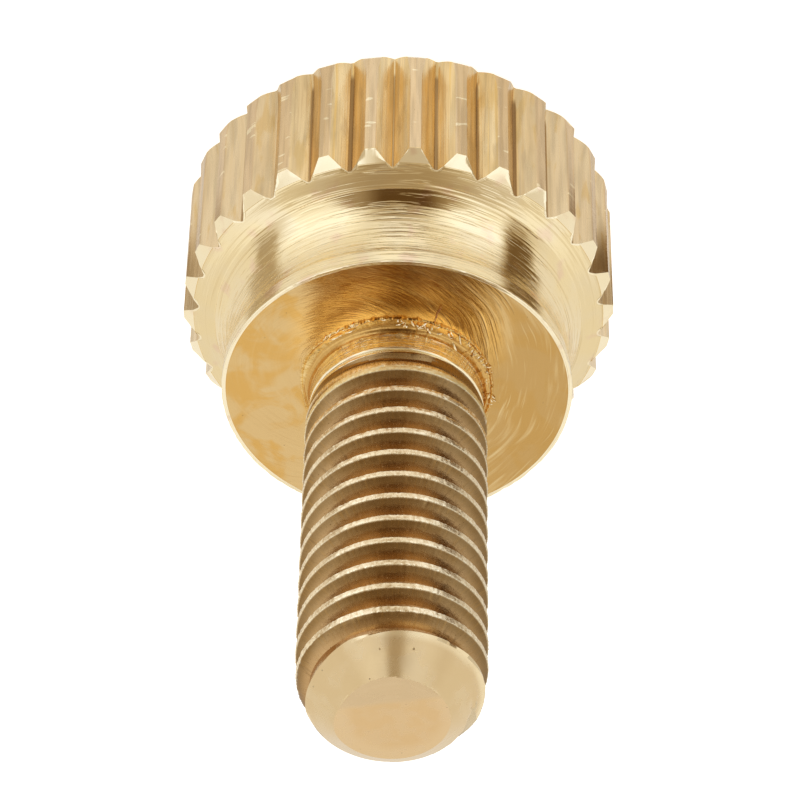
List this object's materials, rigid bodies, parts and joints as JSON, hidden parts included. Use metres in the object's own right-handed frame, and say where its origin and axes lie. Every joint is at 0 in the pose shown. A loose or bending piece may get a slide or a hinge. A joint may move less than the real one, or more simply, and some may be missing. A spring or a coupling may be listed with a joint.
{
  "type": "thumb screw",
  "caption": "Brass thumb screw with a straight-knurled head, a coved boss ending in a bearing collar, a plain neck and a coarse right-hand thread with a chamfered tip.",
  "frame": {"origin": "centre of the head's flat outer face, on the screw's axis, where it stands head down", "axes": "+Z along the screw's axis from the head towards the threaded tip; X and Y across the axis, turned so that the side the light picks out faces -Y"},
  "size_m": [0.012, 0.012, 0.0194],
  "materials": {
    "brass": "bright turned brass, with fine lathe lines, torn burrs at the neck and duller thread flanks"
  },
  "bodies": {
    "root": {"thumb_screw": "brass"}
  },
  "joints": []
}
